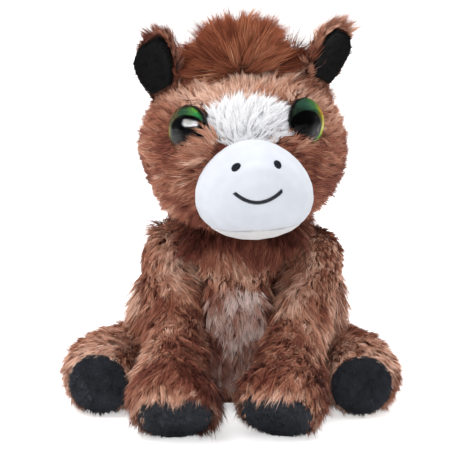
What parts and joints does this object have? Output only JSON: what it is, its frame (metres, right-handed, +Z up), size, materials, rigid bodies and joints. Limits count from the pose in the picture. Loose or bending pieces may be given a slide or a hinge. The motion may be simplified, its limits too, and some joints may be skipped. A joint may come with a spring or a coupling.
{
  "type": "plush horse",
  "caption": "Seated plush horse toy with turning head, lifting front legs, spreading hind legs, folding ears, domed eyes and a smooth muzzle",
  "frame": {"origin": "middle of the bounding box of the seated toy, on the floor that it sits on", "axes": "+Z up, -Y the way the face and the soles look, +X to the right of someone who looks at the face"},
  "size_m": [0.1942, 0.1938, 0.2294],
  "materials": {
    "chestnut_plush": "matte",
    "belly_plush": "matte",
    "long_pile": "matte",
    "white_plush": "matte",
    "muzzle_plush": "matte",
    "black_nap": "matte",
    "embroidery_thread": "satin",
    "fibre_filling": "matte",
    "pellet_bag_cloth": "matte",
    "eye_dome": "gloss",
    "eye_iris": "satin",
    "eye_stem": "satin",
    "eye_washer": "satin"
  },
  "bodies": {
    "torso": {"body_skin": "chestnut_plush", "belly_panel": "belly_plush", "body_filling": "fibre_filling", "pellet_bag": "pellet_bag_cloth"},
    "head": {"head_skin": "chestnut_plush", "blaze_panel": "white_plush", "muzzle_skin": "muzzle_plush", "chin_panel": "muzzle_plush", "head_filling": "fibre_filling", "forelock": "long_pile", "mane": "long_pile", "nostril_left": "embroidery_thread", "nostril_right": "embroidery_thread", "mouth_stitch": "embroidery_thread", "eye_dome_left": "eye_dome", "eye_iris_left": "eye_iris", "eye_stem_left": "eye_stem", "eye_washer_left": "eye_washer", "eye_dome_right": "eye_dome", "eye_iris_right": "eye_iris", "eye_stem_right": "eye_stem", "eye_washer_right": "eye_washer"},
    "ear_left": {"ear_skin_left": "chestnut_plush", "ear_lining_left": "black_nap"},
    "front_leg_left": {"front_leg_left_skin": "chestnut_plush", "front_leg_left_filling": "fibre_filling", "front_leg_left_sole": "black_nap"},
    "hind_leg_left": {"hind_leg_left_skin": "chestnut_plush", "hind_leg_left_filling": "fibre_filling", "hind_leg_left_sole": "black_nap"},
    "ear_right": {"ear_skin_right": "chestnut_plush", "ear_lining_right": "black_nap"},
    "front_leg_right": {"front_leg_right_skin": "chestnut_plush", "front_leg_right_filling": "fibre_filling", "front_leg_right_sole": "black_nap"},
    "hind_leg_right": {"hind_leg_right_skin": "chestnut_plush", "hind_leg_right_filling": "fibre_filling", "hind_leg_right_sole": "black_nap"},
    "tail": {"tail": "long_pile"}
  },
  "joints": [
    {"name": "neck_turn", "type": "hinge", "parent": "torso", "child": "head", "pos_m": [0.00819, 0.00962, 0.10805], "axis": [0, 0, 1], "range_deg": [-20, 20]},
    {"name": "front_leg_left_lift", "type": "hinge", "parent": "torso", "child": "front_leg_left", "pos_m": [-0.03463, 0.00562, 0.08489], "axis": [-0.999, -0.0436, 0], "range_deg": [0, 30]},
    {"name": "front_leg_right_lift", "type": "hinge", "parent": "torso", "child": "front_leg_right", "pos_m": [0.04737, 0.00562, 0.08489], "axis": [-0.9681, 0.2504, 0], "range_deg": [0, 30]},
    {"name": "hind_leg_left_spread", "type": "hinge", "parent": "torso", "child": "hind_leg_left", "pos_m": [-0.03762, 0.02662, 0.02774], "axis": [0, 0, -1], "range_deg": [0, 25]},
    {"name": "hind_leg_right_spread", "type": "hinge", "parent": "torso", "child": "hind_leg_right", "pos_m": [0.04138, 0.02662, 0.02774], "axis": [0, 0, 1], "range_deg": [0, 25]},
    {"name": "ear_left_fold", "type": "hinge", "parent": "head", "child": "ear_left", "pos_m": [-0.03723, -0.00439, 0.18286], "axis": [0.6806, -0.5585, 0.4742], "range_deg": [-12, 15], "stiffness_Nm_per_rad": 0.02},
    {"name": "ear_right_fold", "type": "hinge", "parent": "head", "child": "ear_right", "pos_m": [0.04732, 0.003, 0.1873], "axis": [0.6192, 0.6722, -0.4059], "range_deg": [-12, 15], "stiffness_Nm_per_rad": 0.02},
    {"name": "tail_wag", "type": "hinge", "parent": "torso", "child": "tail", "pos_m": [0.00308, 0.06456, 0.043], "axis": [0, 1, 0], "range_deg": [-30, 30], "stiffness_Nm_per_rad": 0.005}
  ]
}
